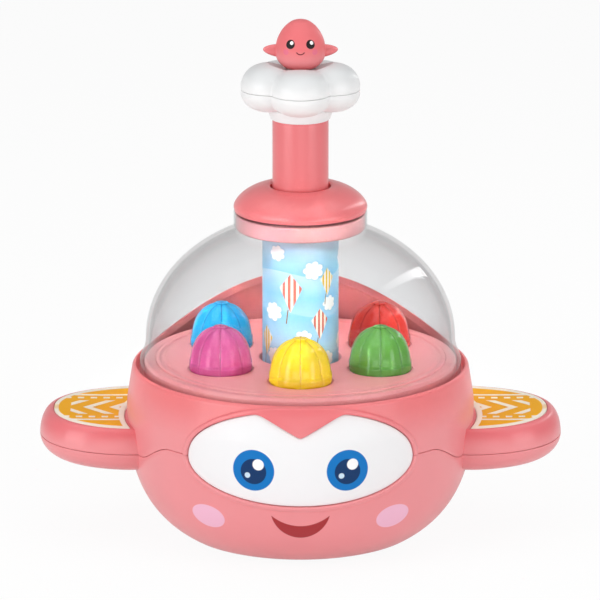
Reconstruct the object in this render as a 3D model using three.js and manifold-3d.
// A press-and-spin toy: an aeroplane body, and a clear dome over a turntable of six balloon domes.
// Pressing the cloud knob drives a twisted spindle, which spins the turntable through a clutch.
// Millimetres, +Z up, the front faces -Y, and the origin is on the ground under the column.
import * as THREE from 'three';
import { mergeVertices } from 'three/addons/utils/BufferGeometryUtils.js';
import Module from 'manifold-3d';

const wasm = await Module();
wasm.setup();

// Facets round the large pieces
const wideFacets = 36;

// Clearances
const seatGap = 0.3;
const runningGap = 0.5;

// Fuselage: a bowl that is widest below the rim, with a wall that rises behind the dome
const bodyRadius = 73;
const deckHeight = 77.8;
const widestBelowDeck = 18;
const rimBelowDeck = 2.4;
const rimLean = 2.4;
const backRise = 22.4;
const backRiseStart = 20;
const bowlPower = 2.75;
const bowlCutOff = 7.5;
const shellWall = 2.6;
const rimWall = 2.2;
const rimChamfer = 2.6;
const baseRounding = 2.6;
const footLift = 2;
const footWidth = 3.5;
const footToScrew = 1.7;
const footGroove = 1.4;
const floorBelowDeck = 6.2;
const floorWall = 2.2;

// Parting line of the two shells, by the angle from the front in degrees
const seamBelowDeck = 36.4;
const seamHumpRise = 9.2;
const seamHumpAngle = 48;
const seamRootAngle = 69;

// Wings
const wingSpan = 220;
const wingRootInset = 13;
const wingHalfChord = 37.5;
const wingPower = 2.3;
const wingTipShift = 4;
const wingRootShift = 8.8;
const wingCurveLength = 42;
const wingSlope = 0.072;
const wingTopHeight = 10.5;
const wingUnderHeight = 9.4;
const wingWall = 2.2;
const wingTipRounding = 1.8;
const inlayInset = 3.6;
const inlayTipInset = 6;
const inlayThickness = 1.2;
const inlayProud = 0.1;

// Windscreen panel on the front of the fuselage, laid out in arc length and height
const panelHalfWidth = 51.9;
const panelBelowDeck = 27.5;
const panelRise = 23.1;
const panelDrop = 17.6;
const panelNotchHeight = 11.1;
const panelNotchSlope = 0.56;
const panelCornerSharpness = 0.7;
const panelThickness = 1.3;
const panelSetBack = 0.1;
const bezelWidth = 2.6;
const bezelHeight = 0.9;
const browBelowRim = 1.3;

// Deck ring and turntable
const discThickness = 2.7;
const deckRingWidth = 4.1;
const deckRingDrop = 0.3;
const balloonCount = 6;
const balloonFromEdge = 22.5;
const balloonRadius = 13.5;
const balloonHeight = 19;
const balloonPower = 0.78;
const balloonWall = 1.3;
const balloonSeatDepth = 0.8;
const gores = 8;
const goreDepth = 0.5;
const hubLength = 19.3;
const hubWall = 3.2;

// Dome and collar
const domeInset = 8;
const domeEquatorAboveDeck = 9;
const domeRise = 51;
const domeWall = 1.6;
const domeFlareHeight = 9.5;
const neckHeight = 8.4;
const neckPlate = 1.4;
const collarHoleRadius = 12.7;
const collarRise = 10.8;
const collarEdgeLift = 1.3;
const collarLip = 4;
const bushWall = 2.15;
const bushFlange = 1.4;
const spigotWall = 3.4;
const spigotDrop = 6.4;
const spigotOverlap = 5.4;
const retainerWidth = 6.1;

// Column, plunger and spring
const columnRadius = 16;
const columnWall = 1.4;
const columnFlange = 1.6;
const columnFootBelowDeck = 12;
const tubeRadius = 11.75;
const tubeWall = 1.85;
const stopRingHeight = 2.5;
const tubeTail = 23.4;
const pressTravel = 27;
const pressReserve = 1.8;
const springWire = 1.3;
const springTurns = 8;
const turnsPerPress = 1;
const stripWidth = 6.4;
const stripThickness = 2.4;
const nutHeight = 6;
const spindleRadius = 3.5;

// Cloud knob and the figure on it
const lobes = 5;
const lobeRadius = 12.6;
const lobeOffset = 13;
const cloudNeckRadius = 12.9;
const cloudSeamAboveNeck = 13.2;
const cloudUpperRise = 10.9;
const cloudSeatRise = 8.3;
const cloudLowerDrop = 9.2;
const cloudWall = 1.8;
const figureRadius = 10.4;
const figureHeight = 20.4;
const figureSpan = 31.2;
const figureWingLength = 9.5;
const figureWingHeight = 5.6;
const figureWingDepth = 4.4;
const figureWingRise = 7.3;
const figureWingTilt = 5;
const figureScrewDepth = 8;

// Clutch and bearing
const ratchetTeeth = 16;
const ratchetHeight = 5.8;
const ratchetRim = 2.2;
const toothDepth = 1.8;
const washerThickness = 0.8;
const bearingWall = 2.6;
const pivotRadius = 2.6;
const pivotCupWall = 3;
const pivotCupDepth = 2;
const shoulderWidth = 2;
const shoulderHeight = 1.3;
const driverBossWall = 3.5;

// Screws
const caseScrewCount = 4;
const screwRadius = 1.2;
const screwHeadRadius = 3;
const screwHeadHeight = 1.8;
const bossWall = 2.9;
const caseHeadBelowSeam = 9;
const caseScrewAboveSeam = 12;
const bearingHeadRadius = 2.6;
const bearingScrewDepth = 10;
const hubScrewRadius = 0.8;
const hubHeadRadius = 1.5;
const hubHeadHeight = 1.2;
const hubScrewDepth = 7;
const knobHoleRadius = 1.9;
const knobHeadRadius = 3.6;
const knobHeadHeight = 2.2;
const smallScrewCount = 3;

// Heights and radii that follow from the sizes above
const radians = THREE.MathUtils.degToRad;
const widestHeight = deckHeight - widestBelowDeck;
const rimHeight = deckHeight - rimBelowDeck;
const bowlDepth = widestHeight - footLift + bowlCutOff;
const seamHeight = deckHeight - seamBelowDeck;
const panelCentre = deckHeight - panelBelowDeck;
const floorTop = deckHeight - floorBelowDeck;
const floorUnder = floorTop - floorWall;
const floorSeat = floorTop + seatGap;
const wingRootX = bodyRadius - wingRootInset;
const domeRadius = bodyRadius - domeInset;
const spigotInner = columnRadius + seatGap;
const spigotOuter = spigotInner + spigotWall;
const retainerInner = spigotOuter + seatGap;
const retainerOuter = retainerInner + retainerWidth;
const neckRadius = retainerOuter + seatGap + domeWall;
const domeEquator = deckHeight + domeEquatorAboveDeck;
const neckFoot = domeEquator + domeRise * Math.sqrt(1 - (neckRadius / domeRadius) ** 2);
const neckTop = neckFoot + neckHeight;
const collarSeat = neckTop + seatGap;
const collarTop = neckTop + collarRise;
const columnFoot = deckHeight - columnFootBelowDeck;
const columnInner = columnRadius - columnWall;
const spigotFoot = neckTop - neckPlate - spigotDrop;
const columnTop = spigotFoot + spigotOverlap;
const bushFlangeTop = columnTop + seatGap + bushFlange;
const bushOuter = tubeRadius + seatGap + bushWall;
const tubeInner = tubeRadius - tubeWall;
const stopRingTop = columnTop - 0.1;
const stopRingFoot = stopRingTop - stopRingHeight;
const tubeFoot = stopRingFoot - tubeTail;
const cloudNeckFoot = collarTop + pressTravel + pressReserve;
const cloudSeam = cloudNeckFoot + cloudSeamAboveNeck;
const cloudTop = cloudSeam + cloudSeatRise;
const figureFoot = cloudTop + seatGap;
const tubeTop = cloudSeam - 1.7;
const tubeCap = 2.2;
const nutFoot = tubeFoot + 1;
const turnPerMillimetre = turnsPerPress * 2 * Math.PI / pressTravel;
const discUnder = deckHeight - discThickness;
const domeFlange = hullRadius(rimHeight + 1.4) - rimWall - runningGap;
const deckRingOuter = domeFlange - domeWall - runningGap;
const deckRingInner = deckRingOuter - deckRingWidth;
const discRadius = deckRingInner - runningGap;
const balloonRingRadius = discRadius - balloonFromEdge;
const hubInner = columnRadius + 1.2;
const hubOuter = hubInner + hubWall;
const hubFoot = discUnder - hubLength;
const ratchetTop = hubFoot - seatGap;
const ratchetFoot = ratchetTop - ratchetHeight;
const ratchetOuter = hubOuter + ratchetRim;
const hubScrewRing = (hubInner + hubOuter) / 2;
const hubHeadFoot = ratchetFoot + 0.4;
const washerTop = ratchetFoot - seatGap;
const bearingTop = washerTop - washerThickness - seatGap;
const bearingUnder = bearingTop - bearingWall;
const bearingBossRadius = screwRadius + seatGap + 1.7;
const bearingBossRing = ratchetOuter + 1.2 + bearingBossRadius;
const bearingOuter = bearingBossRing + bearingBossRadius + 0.3;
const caseBossRadius = screwRadius + seatGap + bossWall;
const caseBossRing = bearingOuter + 0.6 + caseBossRadius;
const footOuter = caseBossRing - screwHeadRadius - seatGap - footToScrew;
const footInner = footOuter - footWidth;

// Outer radius of the fuselage at a height
function hullRadius(z) {
  if (z >= widestHeight) {
    return bodyRadius - rimLean * ((z - widestHeight) / (rimHeight - widestHeight)) ** 1.1;
  }
  return bodyRadius * (1 - ((widestHeight - z) / bowlDepth) ** bowlPower) ** (1 / bowlPower);
}

// Height of the rim at an angle from the front, in radians
function rimAt(angle) {
  const behind = Math.max(0, -Math.cos(angle) * (bodyRadius - 4) - backRiseStart);
  return rimHeight + backRise * (behind / (bodyRadius - 4 - backRiseStart)) ** 2;
}

// Height of the parting line over a point of the plan
function seamAt(x, y) {
  const angle = Math.abs(THREE.MathUtils.radToDeg(Math.atan2(x, -y)));
  const hump = 1 - THREE.MathUtils.smoothstep(angle, seamHumpAngle, seamRootAngle);
  const reach = THREE.MathUtils.smoothstep(Math.hypot(x, y), bodyRadius * 0.62, bodyRadius * 0.85);
  return seamHeight + seamHumpRise * hump * reach + wingRise(x);
}

// How far the wings climb outwards
function wingRise(x) {
  return wingSlope * Math.max(0, Math.abs(x) - bodyRadius + 4.7);
}

// A closed geometry from positions and triangles, turned outwards, with shared corners merged
function closedGeometry(positions, indices) {
  const geometry = new THREE.BufferGeometry();
  geometry.setAttribute('position', new THREE.Float32BufferAttribute(positions, 3));
  geometry.setIndex(indices);
  return tidyGeometry(geometry);
}

function tidyGeometry(source) {
  const bare = source.clone();
  bare.deleteAttribute('normal');
  bare.deleteAttribute('uv');
  const merged = mergeVertices(bare, 1e-4);
  const position = merged.getAttribute('position');
  const index = merged.getIndex().array;
  const corners = [new THREE.Vector3(), new THREE.Vector3(), new THREE.Vector3()];
  const kept = [];
  let volume = 0;
  for (let i = 0; i < index.length; i += 3) {
    const face = [index[i], index[i + 1], index[i + 2]];
    if (face[0] === face[1] || face[1] === face[2] || face[2] === face[0]) continue;
    face.forEach((vertex, corner) => corners[corner].fromBufferAttribute(position, vertex));
    volume += corners[0].dot(corners[1].clone().cross(corners[2]));
    kept.push(face);
  }
  merged.setIndex(kept.flatMap((face) => (volume < 0 ? [face[2], face[1], face[0]] : face)));
  return merged;
}

function toSolid(source) {
  const geometry = tidyGeometry(source);
  return new wasm.Manifold(new wasm.Mesh({
    numProp: 3,
    vertProperties: new Float32Array(geometry.getAttribute('position').array),
    triVerts: new Uint32Array(geometry.getIndex().array),
  }));
}

function toGeometry(solid) {
  const mesh = solid.getMesh();
  return closedGeometry(Array.from(mesh.vertProperties), Array.from(mesh.triVerts));
}

function addAll(solids) {
  return solids.reduce((whole, solid) => whole.add(solid));
}

// A closed profile of [radius, height] points turned about the upright axis
function turned(profile, segments = 24) {
  const points = [...profile, profile[0]].map(([radius, z]) => new THREE.Vector2(radius, z));
  return tidyGeometry(new THREE.LatheGeometry(points, segments).rotateX(Math.PI / 2));
}

// A round bar between two heights, centred on x and y
function bar(radius, foot, top, x = 0, y = 0, segments = 10) {
  return toSolid(turned([[0, foot], [radius, foot], [radius, top], [0, top]], segments)
    .translate(x, y, 0));
}

// Rings of points, each ring closed, joined into one skin; the first and last rings are capped
function lofted(rings) {
  const positions = rings.flat().flatMap((point) => [point.x, point.y, point.z]);
  const count = rings[0].length;
  const indices = [];
  for (let row = 0; row + 1 < rings.length; row += 1) {
    for (let i = 0; i < count; i += 1) {
      const a = row * count + i;
      const b = row * count + (i + 1) % count;
      indices.push(a, b, b + count, a, b + count, a + count);
    }
  }
  for (const [ring, reversed] of [[rings[0], true], [rings[rings.length - 1], false]]) {
    const centre = ring.reduce((sum, point) => sum.add(point), new THREE.Vector3())
      .divideScalar(count);
    const first = reversed ? 0 : (rings.length - 1) * count;
    const middle = positions.length / 3;
    positions.push(centre.x, centre.y, centre.z);
    for (let i = 0; i < count; i += 1) {
      const pair = [first + i, first + (i + 1) % count];
      indices.push(middle, ...(reversed ? pair.reverse() : pair));
    }
  }
  return closedGeometry(positions, indices);
}

function atAngle(angle, radius) {
  return [radius * Math.sin(angle), -radius * Math.cos(angle)];
}

function spaced(count, start = 0) {
  return Array.from({ length: count }, (_, i) => start + (i * 2 * Math.PI) / count);
}

function material(colour, roughness, extra = {}) {
  return new THREE.MeshStandardMaterial({ color: colour, roughness, metalness: 0, ...extra });
}

const pink = material(0xf09a9c, 0.35);
const deepPink = material(0xee7d80, 0.35);
const white = material(0xf6f6f4, 0.35);
const orange = material(0xf5b400, 0.5);
const clear = material(0xf2f4f5, 0.08, { transparent: true, opacity: 0.3 });
const skyBlue = material(0x8cc6e6, 0.5);
const nylon = material(0xe9e7df, 0.55);
const rubber = material(0x4a4a4c, 0.9);
const steel = new THREE.MeshStandardMaterial({ color: 0xb4b6b8, roughness: 0.35, metalness: 1 });

const toy = new THREE.Group();

function add(name, geometry, meshMaterial, parent = toy) {
  const mesh = new THREE.Mesh(geometry, meshMaterial);
  mesh.name = name;
  parent.add(mesh);
  return mesh;
}

// The fuselage as one filled shape, with its rim rounded outside and chamfered inside
function hullOutside() {
  const bowlSteps = 6;
  const bowlFoot = footLift + 1.2;
  const lastAngle = Math.asin(((widestHeight - bowlFoot) / bowlDepth) ** (bowlPower / 2));
  const rings = [() => [hullRadius(footLift) - baseRounding, footLift]];
  for (let step = bowlSteps; step >= 1; step -= 1) {
    const angle = lastAngle * step / bowlSteps;
    const z = widestHeight - bowlDepth * Math.sin(angle) ** (2 / bowlPower);
    rings.push(() => [hullRadius(z), z]);
  }
  for (const share of [0, 0.5]) {
    rings.push((rim) => {
      const z = widestHeight + share * (rim - widestHeight);
      return [hullRadius(z), z];
    });
  }
  rings.push((rim) => [hullRadius(rim - 1.1), rim - 1.1]);
  rings.push((rim) => [hullRadius(rim) - 0.6, rim - 0.2]);
  rings.push((rim) => [hullRadius(rim) - 1.2, rim]);
  rings.push((rim) => [hullRadius(rim) - rimWall - 0.3, rim - rimChamfer]);
  rings.push(() => [hullRadius(rimHeight) * 0.8, floorTop + 1]);
  return lofted(rings.map((point) => spaced(wideFacets).map((angle) => {
    const [radius, z] = point(rimAt(angle));
    return new THREE.Vector3(...atAngle(angle, radius), z);
  })));
}

// The hollow above the shell's floor, where the dome and the deck stand
function deckHollow() {
  const levels = [floorTop, rimHeight, rimHeight + backRise / 2, rimHeight + backRise + 1];
  const wall = levels.map((z) => [hullRadius(z) - rimWall, z]);
  return toSolid(turned([[0, floorTop], ...wall, [0, levels[3]]], wideFacets));
}

// The hollow below the floor, where the mechanism hangs
function bowlHollow() {
  const foot = footLift + shellWall;
  const shares = [0, 0.12, 0.3, 0.6, 1];
  const wall = shares.map((share) => {
    const z = foot + share * (floorUnder - foot);
    return [hullRadius(z) - shellWall, z];
  });
  return toSolid(turned([[0, foot], ...wall, [0, floorUnder]], wideFacets));
}

// Outline of the right wing, drawn in from its edge by the two insets
function wingOutline(inset, tipInset = inset, steps = 14) {
  const tip = wingSpan / 2;
  const points = [];
  for (let i = 0; i <= steps; i += 1) {
    const angle = -Math.PI / 2 + (Math.PI * i) / steps;
    const along = Math.max(0, Math.cos(angle)) ** (2 / wingPower);
    const across = Math.sign(Math.sin(angle)) * Math.abs(Math.sin(angle)) ** (2 / wingPower);
    const x = wingRootX + (tip - wingRootX - tipInset) * along;
    const middle = wingTipShift + wingRootShift * ((tip - x) / wingCurveLength) ** 1.5;
    points.push([x, middle + (wingHalfChord - inset) * across]);
  }
  const rootMiddle = wingTipShift + wingRootShift * ((tip - wingRootX) / wingCurveLength) ** 1.5;
  const inside = bodyRadius * 0.63;
  points.push([inside, rootMiddle + wingHalfChord - inset]);
  points.push([inside, rootMiddle - wingHalfChord + inset]);
  return points;
}

function wingRing(outline, height, side) {
  return outline.map(([x, y]) => (
    new THREE.Vector3(side * x, y, seamHeight + height + wingRise(x))
  ));
}

// Cross-section of a wing's edge as [height above the seam, inset] pairs, shrunk by a wall;
// above the seam the tip is rounder than the front and back
function wingSolid(side, wall) {
  const top = wingTopHeight - wall;
  const under = wingUnderHeight - wall;
  const edge = [
    [-under, 12], [-under * 0.85, 5], [-under * 0.4, 1.2], [0, 0], [top * 0.55, 0.5],
    [top * 0.87, 1.7], [top, 3],
  ];
  const rows = wall > 0 ? edge.filter((row, i) => i % 2 === 0) : edge;
  return toSolid(lofted(rows.map(([height, inset]) => {
    const tipInset = height > 0 ? inset * wingTipRounding : inset;
    return wingRing(wingOutline(inset + wall, tipInset + wall, wall > 0 ? 8 : 14), height, side);
  })));
}

function inlaySolid(side, clearance, foot, top) {
  const outline = wingOutline(inlayInset - clearance, inlayTipInset - clearance);
  const plate = toSolid(lofted([foot, top].map((height) => (
    wingRing(outline, wingTopHeight + height, side)
  ))));
  const beside = bodyRadius + 1.3 - clearance;
  return plate.subtract(bar(beside, 0, deckHeight * 2, 0, 0, wideFacets));
}

// Outline of the windscreen as a distance from its centre in a direction
function ovalReach(direction, grow) {
  const across = Math.cos(direction);
  const up = Math.sin(direction);
  const tall = (up > 0 ? panelRise : panelDrop) + grow;
  return 1 / Math.hypot(across / (panelHalfWidth + grow), up / tall);
}

function panelReach(direction, grow) {
  const across = Math.cos(direction);
  const up = Math.sin(direction);
  const oval = ovalReach(direction, grow);
  const notchRate = up - panelNotchSlope * Math.abs(across);
  if (notchRate <= 0.02) return oval;
  const notch = (panelNotchHeight + grow) / notchRate;
  const sharpness = panelCornerSharpness;
  return oval - Math.log(1 + Math.exp(sharpness * (oval - notch))) / sharpness;
}

// The frame round the windscreen is an oval that stops below the rim, with a brow in the notch
function frameReach(direction) {
  const room = rimHeight - browBelowRim - panelCentre;
  return Math.min(ovalReach(direction, bezelWidth), room / Math.max(Math.sin(direction), 0.05));
}

// A plate that follows the fuselage inside an outline, between two depths
function windscreenPlate(reachAt, innerDepth, outerDepth) {
  const pointAt = (direction, share, depth) => {
    const reach = reachAt(direction) * share;
    const z = panelCentre + reach * Math.sin(direction);
    const angle = (reach * Math.cos(direction)) / bodyRadius;
    return new THREE.Vector3(...atAngle(angle, hullRadius(z) + depth), z);
  };
  const rings = 4;
  const directions = spaced(36);
  const shares = Array.from({ length: rings }, (_, i) => (i + 0.4) / (rings - 0.6));
  const skin = (share, depth) => directions.map((direction) => pointAt(direction, share, depth));
  return lofted([
    ...shares.map((share) => skin(share, innerDepth)),
    ...shares.reverse().map((share) => skin(share, outerDepth)),
  ]);
}

// Everything below the parting line, lifted by an offset
function belowSeam(offset) {
  const radii = [
    ...[0.3, 0.62, 0.85, 1.04].map((share) => share * bodyRadius),
    wingSpan / 2 + 8,
  ];
  const angles = spaced(wideFacets);
  const plan = (radius, height) => angles.map((angle) => {
    const [x, y] = atAngle(angle, radius);
    return new THREE.Vector3(x, y, height(x, y));
  });
  const upper = (x, y) => seamAt(x, y) + offset;
  const outerRadius = radii[radii.length - 1];
  return toSolid(lofted([
    plan(outerRadius * 0.3, () => -10),
    plan(outerRadius, () => -10),
    ...radii.reverse().map((radius) => plan(radius, upper)),
  ]));
}

const caseScrewAngles = spaced(caseScrewCount, Math.PI / 4);
const bearingScrewAngles = spaced(smallScrewCount, Math.PI / 2);
const hubScrewAngles = spaced(smallScrewCount, Math.PI / 6);
const caseHeadSeat = seamHeight - caseHeadBelowSeam;
const caseScrewTop = seamHeight + caseScrewAboveSeam;

// Both shells come from one shape that is parted along the seam
function fuselageShells() {
  const hull = toSolid(hullOutside());
  const wings = [-1, 1].map((side) => wingSolid(side, 0));
  const pockets = [-1, 1].map((side) => wingSolid(side, wingWall).subtract(hull));
  const bezel = toSolid(windscreenPlate(frameReach, -shellWall / 2, bezelHeight));
  const panelDepth = panelThickness + panelSetBack + seatGap;
  const recessReach = (direction) => panelReach(direction, seatGap);
  const recess = toSolid(windscreenPlate(recessReach, -panelDepth, bezelHeight + 3));
  const inlays = [-1, 1].map((side) => (
    inlaySolid(side, seatGap, inlayProud - inlayThickness - seatGap, 4)
  ));
  const bosses = caseScrewAngles.map((angle) => (
    bar(caseBossRadius, footLift + shellWall / 2, floorTop - floorWall / 2,
      ...atAngle(angle, caseBossRing))
  ));
  const hangers = bearingScrewAngles.map((angle) => (
    bar(bearingBossRadius, bearingTop + seatGap, floorTop - floorWall / 2,
      ...atAngle(angle, bearingBossRing))
  ));
  const screwHoles = caseScrewAngles.flatMap((angle) => {
    const [x, y] = atAngle(angle, caseBossRing);
    return [
      bar(screwRadius + seatGap, 0, caseScrewTop + 1, x, y, 8),
      bar(screwHeadRadius + seatGap, 0, caseHeadSeat, x, y, 12),
    ];
  });
  const hangerHoles = bearingScrewAngles.map((angle) => (
    bar(screwRadius + seatGap, bearingTop, bearingTop + bearingScrewDepth + 1,
      ...atAngle(angle, bearingBossRing), 8)
  ));
  const footSlot = toSolid(turned([
    [footInner - seatGap, 0], [footOuter + seatGap, 0],
    [footOuter + seatGap, footLift + footGroove], [footInner - seatGap, footLift + footGroove],
  ]));
  const outside = addAll([hull, bezel, ...wings]);
  const walls = outside.subtract(deckHollow()).subtract(bowlHollow());
  const hubHole = bar(hubOuter + runningGap, floorUnder - 1, floorTop + 1, 0, 0, 24);
  const cuts = addAll([recess, hubHole, footSlot, ...pockets, ...inlays]);
  const inside = addAll([...bosses, ...hangers]);
  const whole = walls.subtract(cuts).add(inside).subtract(addAll([...screwHoles, ...hangerHoles]));
  return {
    lower: whole.intersect(belowSeam(-seatGap / 2)),
    upper: whole.subtract(belowSeam(seatGap / 2)),
  };
}

// A plain screw with a round head, its axis upright and its point up
function screw(radius, headRadius, headHeight, headFoot, top) {
  return turned([
    [0, headFoot], [headRadius * 0.8, headFoot], [headRadius, headFoot + headHeight * 0.4],
    [headRadius, headFoot + headHeight], [radius, headFoot + headHeight],
    [radius, top - radius], [0, top],
  ], 7);
}

const shells = fuselageShells();
add('lower_shell', toGeometry(shells.lower), pink);
add('upper_shell', toGeometry(shells.upper), pink);
add('windscreen_panel', windscreenPlate(
  (direction) => panelReach(direction, 0), -panelThickness - panelSetBack, -panelSetBack,
), white);
for (const [side, name] of [[-1, 'wing_inlay_left'], [1, 'wing_inlay_right']]) {
  add(name, toGeometry(inlaySolid(side, 0, inlayProud - inlayThickness, inlayProud)), orange);
}

const footTop = footLift + footGroove - seatGap;
add('foot_ring', turned([
  [footInner, 0], [footOuter, 0], [footOuter, footTop], [footInner, footTop],
]), rubber);

caseScrewAngles.forEach((angle, i) => {
  const [x, y] = atAngle(angle, caseBossRing);
  const foot = caseHeadSeat - seatGap - screwHeadHeight;
  const shape = screw(screwRadius, screwHeadRadius, screwHeadHeight, foot, caseScrewTop);
  add(`case_screw_${i + 1}`, shape.translate(x, y, 0), steel);
});

// The fixed ring round the turntable, rounded at its outer edge
function deckRing() {
  const top = deckHeight - deckRingDrop;
  return turned([
    [deckRingInner, floorSeat], [deckRingOuter, floorSeat], [deckRingOuter, top - 2],
    [deckRingOuter - 0.7, top - 0.5], [deckRingOuter - 2.2, top], [deckRingInner, top],
  ], wideFacets);
}
add('deck_ring', deckRing(), pink);

// The dome's outside as [radius, height], from its foot to the neck, drawn in by a wall
function domeCurve(wall) {
  const flare = [1, 0.5].map((share) => [
    domeRadius - wall + (domeFlange - domeRadius) * share ** 2,
    domeEquator - domeFlareHeight * share,
  ]);
  const radius = domeRadius - wall;
  const rise = domeRise - wall;
  const last = Math.acos((neckRadius - wall) / radius);
  const steps = 4;
  const arc = Array.from({ length: steps + 1 }, (_, i) => {
    const angle = (last * i) / steps;
    return [radius * Math.cos(angle), domeEquator + rise * Math.sin(angle)];
  });
  return [[domeFlange - wall, floorSeat], ...flare, ...arc];
}

function dome() {
  const neckInner = neckRadius - domeWall;
  return turned([
    ...domeCurve(0), [neckRadius, neckTop], [retainerInner, neckTop],
    [retainerInner, neckTop - neckPlate], [neckInner, neckTop - neckPlate],
    ...domeCurve(domeWall).reverse(),
  ], wideFacets);
}
add('dome', dome(), clear);

// Collar cap: a low bell with a spigot that goes down through the dome's neck
function collarCap() {
  const edge = neckTop + collarEdgeLift;
  const bore = bushOuter + seatGap;
  const lipFoot = collarTop - collarLip;
  const shoulder = bushFlangeTop + seatGap;
  const rise = collarTop - edge - 0.6;
  const span = neckRadius - collarHoleRadius - 1;
  const crown = [1, 0.97, 0.88, 0.7, 0.4, 0].map((share) => (
    [collarHoleRadius + 1 + span * share, edge + 0.6 + rise * (1 - share ** 1.8) ** 0.65]
  ));
  return turned([
    [bore, shoulder], [bore, lipFoot], [collarHoleRadius, lipFoot],
    [collarHoleRadius, collarTop - 0.8], ...crown.reverse(),
    [neckRadius - 0.5, edge], [neckRadius - 2.8, edge], [neckRadius - 2.8, collarSeat],
    [spigotOuter, collarSeat], [spigotOuter, spigotFoot], [spigotInner, spigotFoot],
    [spigotInner, shoulder],
  ]);
}
add('collar_cap', collarCap(), deepPink);

// The ring that locks the collar under the dome's neck
function retainerRing() {
  const top = neckTop - neckPlate - seatGap;
  return turned([
    [retainerInner, spigotFoot], [retainerOuter - 0.6, spigotFoot],
    [retainerOuter, spigotFoot + 0.6], [retainerOuter, top], [retainerInner, top],
  ]);
}
add('collar_retainer_ring', retainerRing(), pink);

function collarBush() {
  const inner = tubeRadius + seatGap;
  const foot = columnTop + seatGap;
  const top = collarTop - collarLip - seatGap;
  return turned([
    [inner, foot], [columnRadius - 0.1, foot], [columnRadius - 0.1, bushFlangeTop],
    [bushOuter, bushFlangeTop], [bushOuter, top], [inner, top],
  ]);
}
add('collar_bush', collarBush(), nylon);

// The printed column: a tube with an inner flange at its foot, which the spring stands on
function columnSleeve() {
  const spindleHole = spindleRadius + 1.5;
  return turned([
    [spindleHole, columnFoot], [columnRadius, columnFoot], [columnRadius, columnTop],
    [columnInner, columnTop], [columnInner, columnFoot + columnFlange],
    [spindleHole, columnFoot + columnFlange],
  ]);
}
add('column_sleeve', columnSleeve(), skyBlue);

// Bearing plate under the turntable, with a cup for the spindle's pivot
function bearingPlate() {
  const cup = pivotRadius + pivotCupWall;
  const cupFoot = bearingUnder - pivotCupDepth;
  const plate = toSolid(turned([
    [0, cupFoot], [cup, cupFoot], [cup, bearingUnder],
    [bearingOuter, bearingUnder], [bearingOuter, bearingTop], [0, bearingTop],
  ]));
  const holes = bearingScrewAngles.map((angle) => (
    bar(screwRadius + seatGap, 0, deckHeight, ...atAngle(angle, bearingBossRing), 8)
  ));
  const pivotHole = bar(pivotRadius + seatGap, bearingUnder - 0.4, deckHeight);
  return toGeometry(plate.subtract(addAll([pivotHole, ...holes])));
}
add('bearing_plate', bearingPlate(), nylon);

bearingScrewAngles.forEach((angle, i) => {
  const [x, y] = atAngle(angle, bearingBossRing);
  const headFoot = bearingUnder - seatGap - screwHeadHeight;
  const top = bearingTop + bearingScrewDepth;
  const shape = screw(screwRadius, bearingHeadRadius, screwHeadHeight, headFoot, top);
  add(`bearing_screw_${i + 1}`, shape.translate(x, y, 0), steel);
});

function thrustWasher() {
  const foot = washerTop - washerThickness;
  const inner = hubInner - 2;
  return turned([[inner, foot], [ratchetOuter, foot], [ratchetOuter, washerTop], [inner, washerTop]]);
}
add('thrust_washer', thrustWasher(), nylon);

// The turntable with its hub, six seats for the balloon domes and ribs underneath
const turntable = new THREE.Group();
toy.add(turntable);
const balloonAngles = spaced(balloonCount);

function turntableDisc() {
  const top = deckHeight;
  const disc = toSolid(turned([
    [hubInner, hubFoot], [hubOuter, hubFoot], [hubOuter, discUnder], [discRadius - 0.6, discUnder],
    [discRadius, discUnder + 0.6], [discRadius, top - 0.9], [discRadius - 0.3, top - 0.3],
    [discRadius - 1, top], [hubInner + 0.5, top], [hubInner, top - 0.5],
  ], wideFacets));
  const seats = balloonAngles.map((angle) => (
    bar(balloonRadius + seatGap, top - balloonSeatDepth, top + 5,
      ...atAngle(angle, balloonRingRadius), 16)
  ));
  const ribReach = discRadius - 4 - hubOuter;
  const ribs = balloonAngles.map((angle) => toSolid(
    new THREE.BoxGeometry(1.8, ribReach + 1, 2.2)
      .translate(0, -hubOuter - ribReach / 2, discUnder - 1)
      .rotateZ(angle + Math.PI / balloonCount)));
  const holes = hubScrewAngles.map((angle) => (
    bar(hubScrewRadius + seatGap, hubFoot - 1, hubFoot + hubScrewDepth + 1,
      ...atAngle(angle, hubScrewRing), 8)
  ));
  return toGeometry(addAll([disc, ...ribs]).subtract(addAll([...seats, ...holes])));
}
add('turntable_disc', turntableDisc(), pink, turntable);

// A half balloon: eight gores over a plain skirt, hollow from below, with a button on top
function balloonDome() {
  const segments = gores * 2;
  const floor = deckHeight - balloonSeatDepth + seatGap;
  const height = balloonHeight - seatGap;
  const ring = (share, inset, goreShare) => spaced(segments).map((angle) => {
    const groove = Math.cos((angle * gores) / 2) ** 2;
    const lift = share * Math.PI / 2;
    const radius = (balloonRadius - inset) * Math.cos(lift);
    return new THREE.Vector3(
      ...atAngle(angle, radius - goreShare * goreDepth * groove),
      floor + (height - inset) * Math.sin(lift) ** balloonPower,
    );
  });
  const button = (radius, z) => spaced(segments).map((angle) => (
    new THREE.Vector3(...atAngle(angle, radius), floor + z)
  ));
  const outside = lofted([
    ring(0, 0, 0), ring(0.08, 0, 0), ring(0.1, 0, 1), ring(0.28, 0, 1), ring(0.5, 0, 1),
    ring(0.7, 0, 1),
    button(3, height - 0.9), button(2.5, height + 0.2),
  ]);
  const plain = [0, 0.3, 0.6, 0.85].map((share) => {
    const [rim] = ring(share, balloonWall + goreDepth, 0);
    return [Math.hypot(rim.x, rim.y), rim.z];
  });
  const hollow = turned([
    [0, floor - 1], [plain[0][0], floor - 1], ...plain, [0, plain[3][1] + 0.6],
  ], 8);
  return toGeometry(toSolid(outside).subtract(toSolid(hollow)));
}

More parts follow.
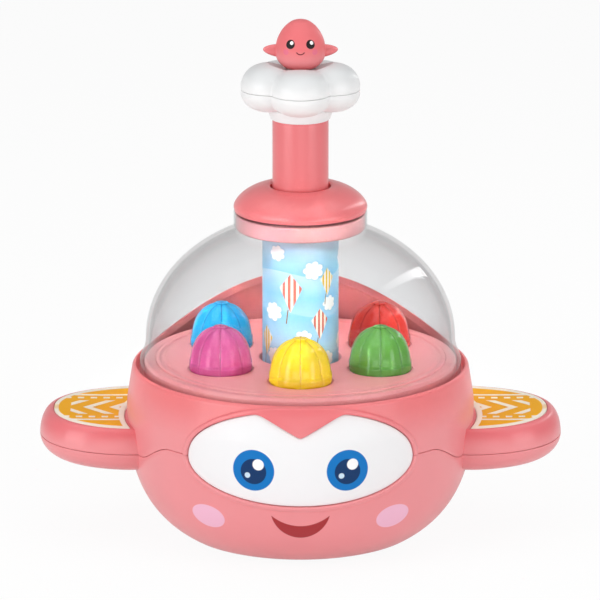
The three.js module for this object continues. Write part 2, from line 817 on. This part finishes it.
const balloonColours = [
  ['yellow', 0xffe114], ['green', 0x50b43c], ['red', 0xeb2d28],
  ['orange', 0xff8a1e], ['blue', 0x00a5eb], ['magenta', 0xe6509b],
];
const balloonGeometry = balloonDome();
balloonColours.forEach(([colour, value], i) => {
  const balloon = add(`balloon_dome_${colour}`, balloonGeometry, material(value, 0.12), turntable);
  balloon.position.set(...atAngle(balloonAngles[i], balloonRingRadius), 0);
});

// A ring of sawteeth under the hub, which the driver's pawls push one way only
const toothRoot = hubInner - 0.6;
const toothTip = toothRoot - toothDepth;
function ratchetRing() {
  const outline = new THREE.Shape().absarc(0, 0, ratchetOuter, 0, 2 * Math.PI);
  const teeth = spaced(ratchetTeeth).flatMap((angle) => [
    new THREE.Vector2(...atAngle(angle, toothTip)),
    new THREE.Vector2(...atAngle(angle + 0.04, toothRoot)),
  ]);
  outline.holes.push(new THREE.Path(teeth));
  const ring = new THREE.ExtrudeGeometry(outline, {
    depth: ratchetHeight, bevelEnabled: false, curveSegments: 24,
  }).translate(0, 0, ratchetFoot);
  const holes = hubScrewAngles.flatMap((angle) => {
    const [x, y] = atAngle(angle, hubScrewRing);
    return [
      bar(hubScrewRadius + seatGap, 0, deckHeight, x, y, 8),
      bar(hubHeadRadius + seatGap, 0, hubHeadFoot + hubHeadHeight + seatGap, x, y, 8),
    ];
  });
  return toGeometry(toSolid(ring).subtract(addAll(holes)));
}
add('ratchet_ring', ratchetRing(), nylon, turntable);

hubScrewAngles.forEach((angle, i) => {
  const [x, y] = atAngle(angle, hubScrewRing);
  const top = hubFoot + hubScrewDepth;
  const shape = screw(hubScrewRadius, hubHeadRadius, hubHeadHeight, hubHeadFoot, top);
  add(`hub_screw_${i + 1}`, shape.translate(x, y, 0), steel, turntable);
});

// The spindle: a pivot, a shoulder and a round shank below, and a twisted strip above
const spindle = new THREE.Group();
toy.add(spindle);
const shoulderFoot = bearingTop + seatGap;
const shoulderTop = shoulderFoot + shoulderHeight;
const stripFoot = nutFoot - pressTravel - 6;
const stripTop = nutFoot + nutHeight + 6;

// A flat strip between two heights, twisted at the spindle's pitch
function twistedStrip(width, thickness, foot, top) {
  const steps = Math.round((top - foot) / 1.5);
  const rings = Array.from({ length: steps + 1 }, (_, i) => {
    const z = foot + ((top - foot) * i) / steps;
    const turn = z * turnPerMillimetre;
    return [[1, 1], [0, 1], [-1, 1], [-1, -1], [0, -1], [1, -1]].map(([across, through]) => (
      new THREE.Vector3((across * width) / 2, (through * thickness) / 2, z)
        .applyAxisAngle(new THREE.Vector3(0, 0, 1), turn)
    ));
  });
  return toSolid(lofted(rings));
}

function spindleRod() {
  const shoulder = spindleRadius + shoulderWidth;
  const shank = toSolid(turned([
    [0, bearingUnder + 0.2], [pivotRadius, bearingUnder + 0.2],
    [pivotRadius, shoulderFoot], [shoulder, shoulderFoot],
    [shoulder, shoulderTop], [spindleRadius, shoulderTop],
    [spindleRadius, stripFoot], [0, stripFoot],
  ], 16));
  return toGeometry(shank.add(twistedStrip(stripWidth, stripThickness, stripFoot - 1, stripTop)));
}
add('spindle_rod', spindleRod(), steel, spindle);

// Clutch driver: a boss on the spindle with two springy pawls
function clutchDriver() {
  const reach = toothTip - runningGap;
  const outline = new THREE.Shape();
  const boss = spindleRadius + driverBossWall;
  const steps = 10;
  const points = [0, Math.PI].flatMap((turn) => [
    ...Array.from({ length: steps }, (_, i) => [turn + (i * 2.2) / steps, boss]),
    [turn + 2.2, reach - 2], [turn + 2.45, reach - 0.7], [turn + 2.75, reach],
    [turn + 2.8, reach - 1.5], [turn + 2.55, boss + 1],
  ]);
  outline.setFromPoints(points.map(([angle, radius]) => new THREE.Vector2(...atAngle(angle, radius))));
  outline.holes.push(new THREE.Path().absarc(0, 0, spindleRadius + seatGap, 0, 2 * Math.PI, true));
  return new THREE.ExtrudeGeometry(outline, {
    depth: ratchetHeight - 1, bevelEnabled: false, curveSegments: 10,
  }).translate(0, 0, shoulderTop + seatGap);
}
add('clutch_driver', tidyGeometry(clutchDriver()), nylon, spindle);

// The plunger: a tube with a stop ring, closed at the top under the cloud
const plunger = new THREE.Group();
toy.add(plunger);

function plungerTube() {
  const stop = columnInner - runningGap;
  return turned([
    [tubeInner, tubeFoot], [tubeRadius, tubeFoot], [tubeRadius, stopRingFoot],
    [stop, stopRingFoot], [stop, stopRingTop], [tubeRadius, stopRingTop],
    [tubeRadius, tubeTop], [knobHoleRadius, tubeTop], [knobHoleRadius, tubeTop - tubeCap],
    [tubeInner, tubeTop - tubeCap],
  ]);
}
add('plunger_tube', plungerTube(), deepPink, plunger);

function spindleNut() {
  const body = bar(tubeInner - seatGap, nutFoot, nutFoot + nutHeight, 0, 0, 24);
  const slot = twistedStrip(stripWidth + 2 * runningGap, stripThickness + 2 * runningGap,
    nutFoot - 1, nutFoot + nutHeight + 1);
  return toGeometry(body.subtract(slot));
}
add('spindle_nut', spindleNut(), nylon, plunger);

// The return spring, between the column's flange and the plunger's stop ring
function returnSpring() {
  const wire = springWire / 2;
  const radius = (tubeRadius + columnInner) / 2;
  const foot = columnFoot + columnFlange + seatGap + wire;
  const top = stopRingFoot - seatGap - wire;
  const stepsPerTurn = 10;
  const steps = springTurns * stepsPerTurn;
  const rings = Array.from({ length: steps + 1 }, (_, i) => {
    const angle = (i * 2 * Math.PI) / stepsPerTurn;
    const z = foot + ((top - foot) * i) / steps;
    return spaced(4).map((turn) => new THREE.Vector3(
      ...atAngle(angle, radius + wire * Math.cos(turn)), z + wire * Math.sin(turn)));
  });
  return lofted(rings);
}
add('return_spring', returnSpring(), steel);

// Distance from the axis to the cloud's edge, in a direction
function cloudEdge(angle, inset) {
  const pitch = (2 * Math.PI) / lobes;
  const off = angle - Math.round(angle / pitch) * pitch;
  const radius = lobeRadius - inset;
  return lobeOffset * Math.cos(off) + Math.sqrt(radius ** 2 - (lobeOffset * Math.sin(off)) ** 2);
}

// How puffed up the cloud is over a point, from 0 at its edge to 1
function cloudPuff(x, y, inset) {
  const radius = lobeRadius - inset;
  const lobePuff = spaced(lobes).map((angle) => {
    const [lobeX, lobeY] = atAngle(angle, lobeOffset);
    return 1 - (Math.hypot(x - lobeX, y - lobeY) / radius) ** 2;
  });
  return Math.sqrt(Math.max(0, ...lobePuff));
}

const cloudSpokes = lobes * 6;
function cloudRing(share, inset, height) {
  return spaced(cloudSpokes).map((angle) => {
    const radius = cloudEdge(angle, inset) * share;
    const [x, y] = atAngle(angle, radius);
    return new THREE.Vector3(x, y, height(x, y));
  });
}

function plainRing(radius, z, count = cloudSpokes) {
  return spaced(count).map((angle) => new THREE.Vector3(...atAngle(angle, radius), z));
}

// The cloud's upper half: five puffs round a well, in which the figure sits
const cloudSeatRadius = figureRadius - 1;
function cloudUpperShell() {
  const split = cloudSeam + seatGap / 2;
  const skin = (inset, shares) => {
    const rise = cloudUpperRise - inset;
    return [
      cloudRing(1, inset, () => split),
      ...shares.map((share) => cloudRing(share, inset, (x, y) => (
        split + rise * cloudPuff(x, y, inset)))),
      plainRing(cloudSeatRadius, cloudTop - inset),
    ];
  };
  const outside = toSolid(lofted(skin(0, [0.96, 0.84, 0.65, 0.46])));
  const below = cloudRing(1, cloudWall, () => split - 1);
  const hollow = toSolid(lofted([below, ...skin(cloudWall, [0.96, 0.84, 0.66])]));
  const well = bar(figureRadius + seatGap, cloudTop, figureFoot + figureHeight, 0, 0, 24);
  const boss = bar(5, tubeTop + seatGap, cloudTop - 0.5);
  const hole = bar(knobHoleRadius, 0, cloudTop + 5, 0, 0, 12);
  return toGeometry(outside.subtract(well).subtract(hollow).add(boss).subtract(hole));
}
add('cloud_upper_shell', cloudUpperShell(), white, plunger);

// The cloud's lower half, with a neck that takes the plunger
function cloudLowerShell() {
  const split = cloudSeam - seatGap / 2;
  const skin = (inset) => [0.96, 0.8].map((share) => cloudRing(share, inset, (x, y) => (
    split - (cloudLowerDrop - inset) * cloudPuff(x, y, inset))));
  const underside = cloudSeam - cloudLowerDrop;
  const outside = toSolid(lofted([
    cloudRing(1, 0, () => split), ...skin(0),
    plainRing(cloudNeckRadius + 1.2, underside + 0.4), plainRing(cloudNeckRadius, underside - 1.2),
    plainRing(cloudNeckRadius, cloudNeckFoot + 0.6), plainRing(cloudNeckRadius - 0.5, cloudNeckFoot),
  ]));
  const hollow = toSolid(lofted([
    cloudRing(1, cloudWall, () => split + 1), cloudRing(1, cloudWall, () => split),
    ...skin(cloudWall), plainRing(tubeRadius + 2, underside + cloudWall + 1),
  ]));
  const bore = bar(tubeRadius + seatGap, 0, cloudSeam + 5, 0, 0, 24);
  return toGeometry(outside.subtract(hollow).subtract(bore));
}
add('cloud_lower_shell', cloudLowerShell(), white, plunger);

// The bulb-shaped figure and its two small wings
const figureProfile = [
  [0, 0], [0.8, 0], [0.92, 0.065], [0.98, 0.14], [1, 0.28], [0.97, 0.45], [0.9, 0.57],
  [0.77, 0.67], [0.64, 0.78], [0.45, 0.89], [0.23, 0.97], [0, 1],
];

function figureBody(grow) {
  return toSolid(turned(figureProfile.map(([radius, height]) => (
    [radius * figureRadius + (radius > 0 ? grow : 0), figureFoot + height * figureHeight]
  )), 16));
}
const knobScrewTop = figureFoot + figureScrewDepth;
add('figure_body', toGeometry(
  figureBody(0).subtract(bar(knobHoleRadius, 0, knobScrewTop + seatGap, 0, 0, 12)),
), deepPink, plunger);

function figureWing(side) {
  const middle = (figureSpan - figureWingLength) / 2 + 0.25;
  const wing = new THREE.SphereGeometry(1, 12, 6)
    .scale(figureWingLength / 2, figureWingDepth / 2, figureWingHeight / 2)
    .rotateY(-side * radians(figureWingTilt))
    .translate(side * middle, 0, figureFoot + figureWingRise);
  return toGeometry(toSolid(wing).subtract(figureBody(seatGap)));
}
add('figure_wing_left', figureWing(-1), deepPink, plunger);
add('figure_wing_right', figureWing(1), deepPink, plunger);

const knobHeadFoot = tubeTop - tubeCap - seatGap - knobHeadHeight;
add('knob_screw', screw(
  knobHoleRadius - seatGap, knobHeadRadius, knobHeadHeight, knobHeadFoot, knobScrewTop,
), steel, plunger);

export default toy;
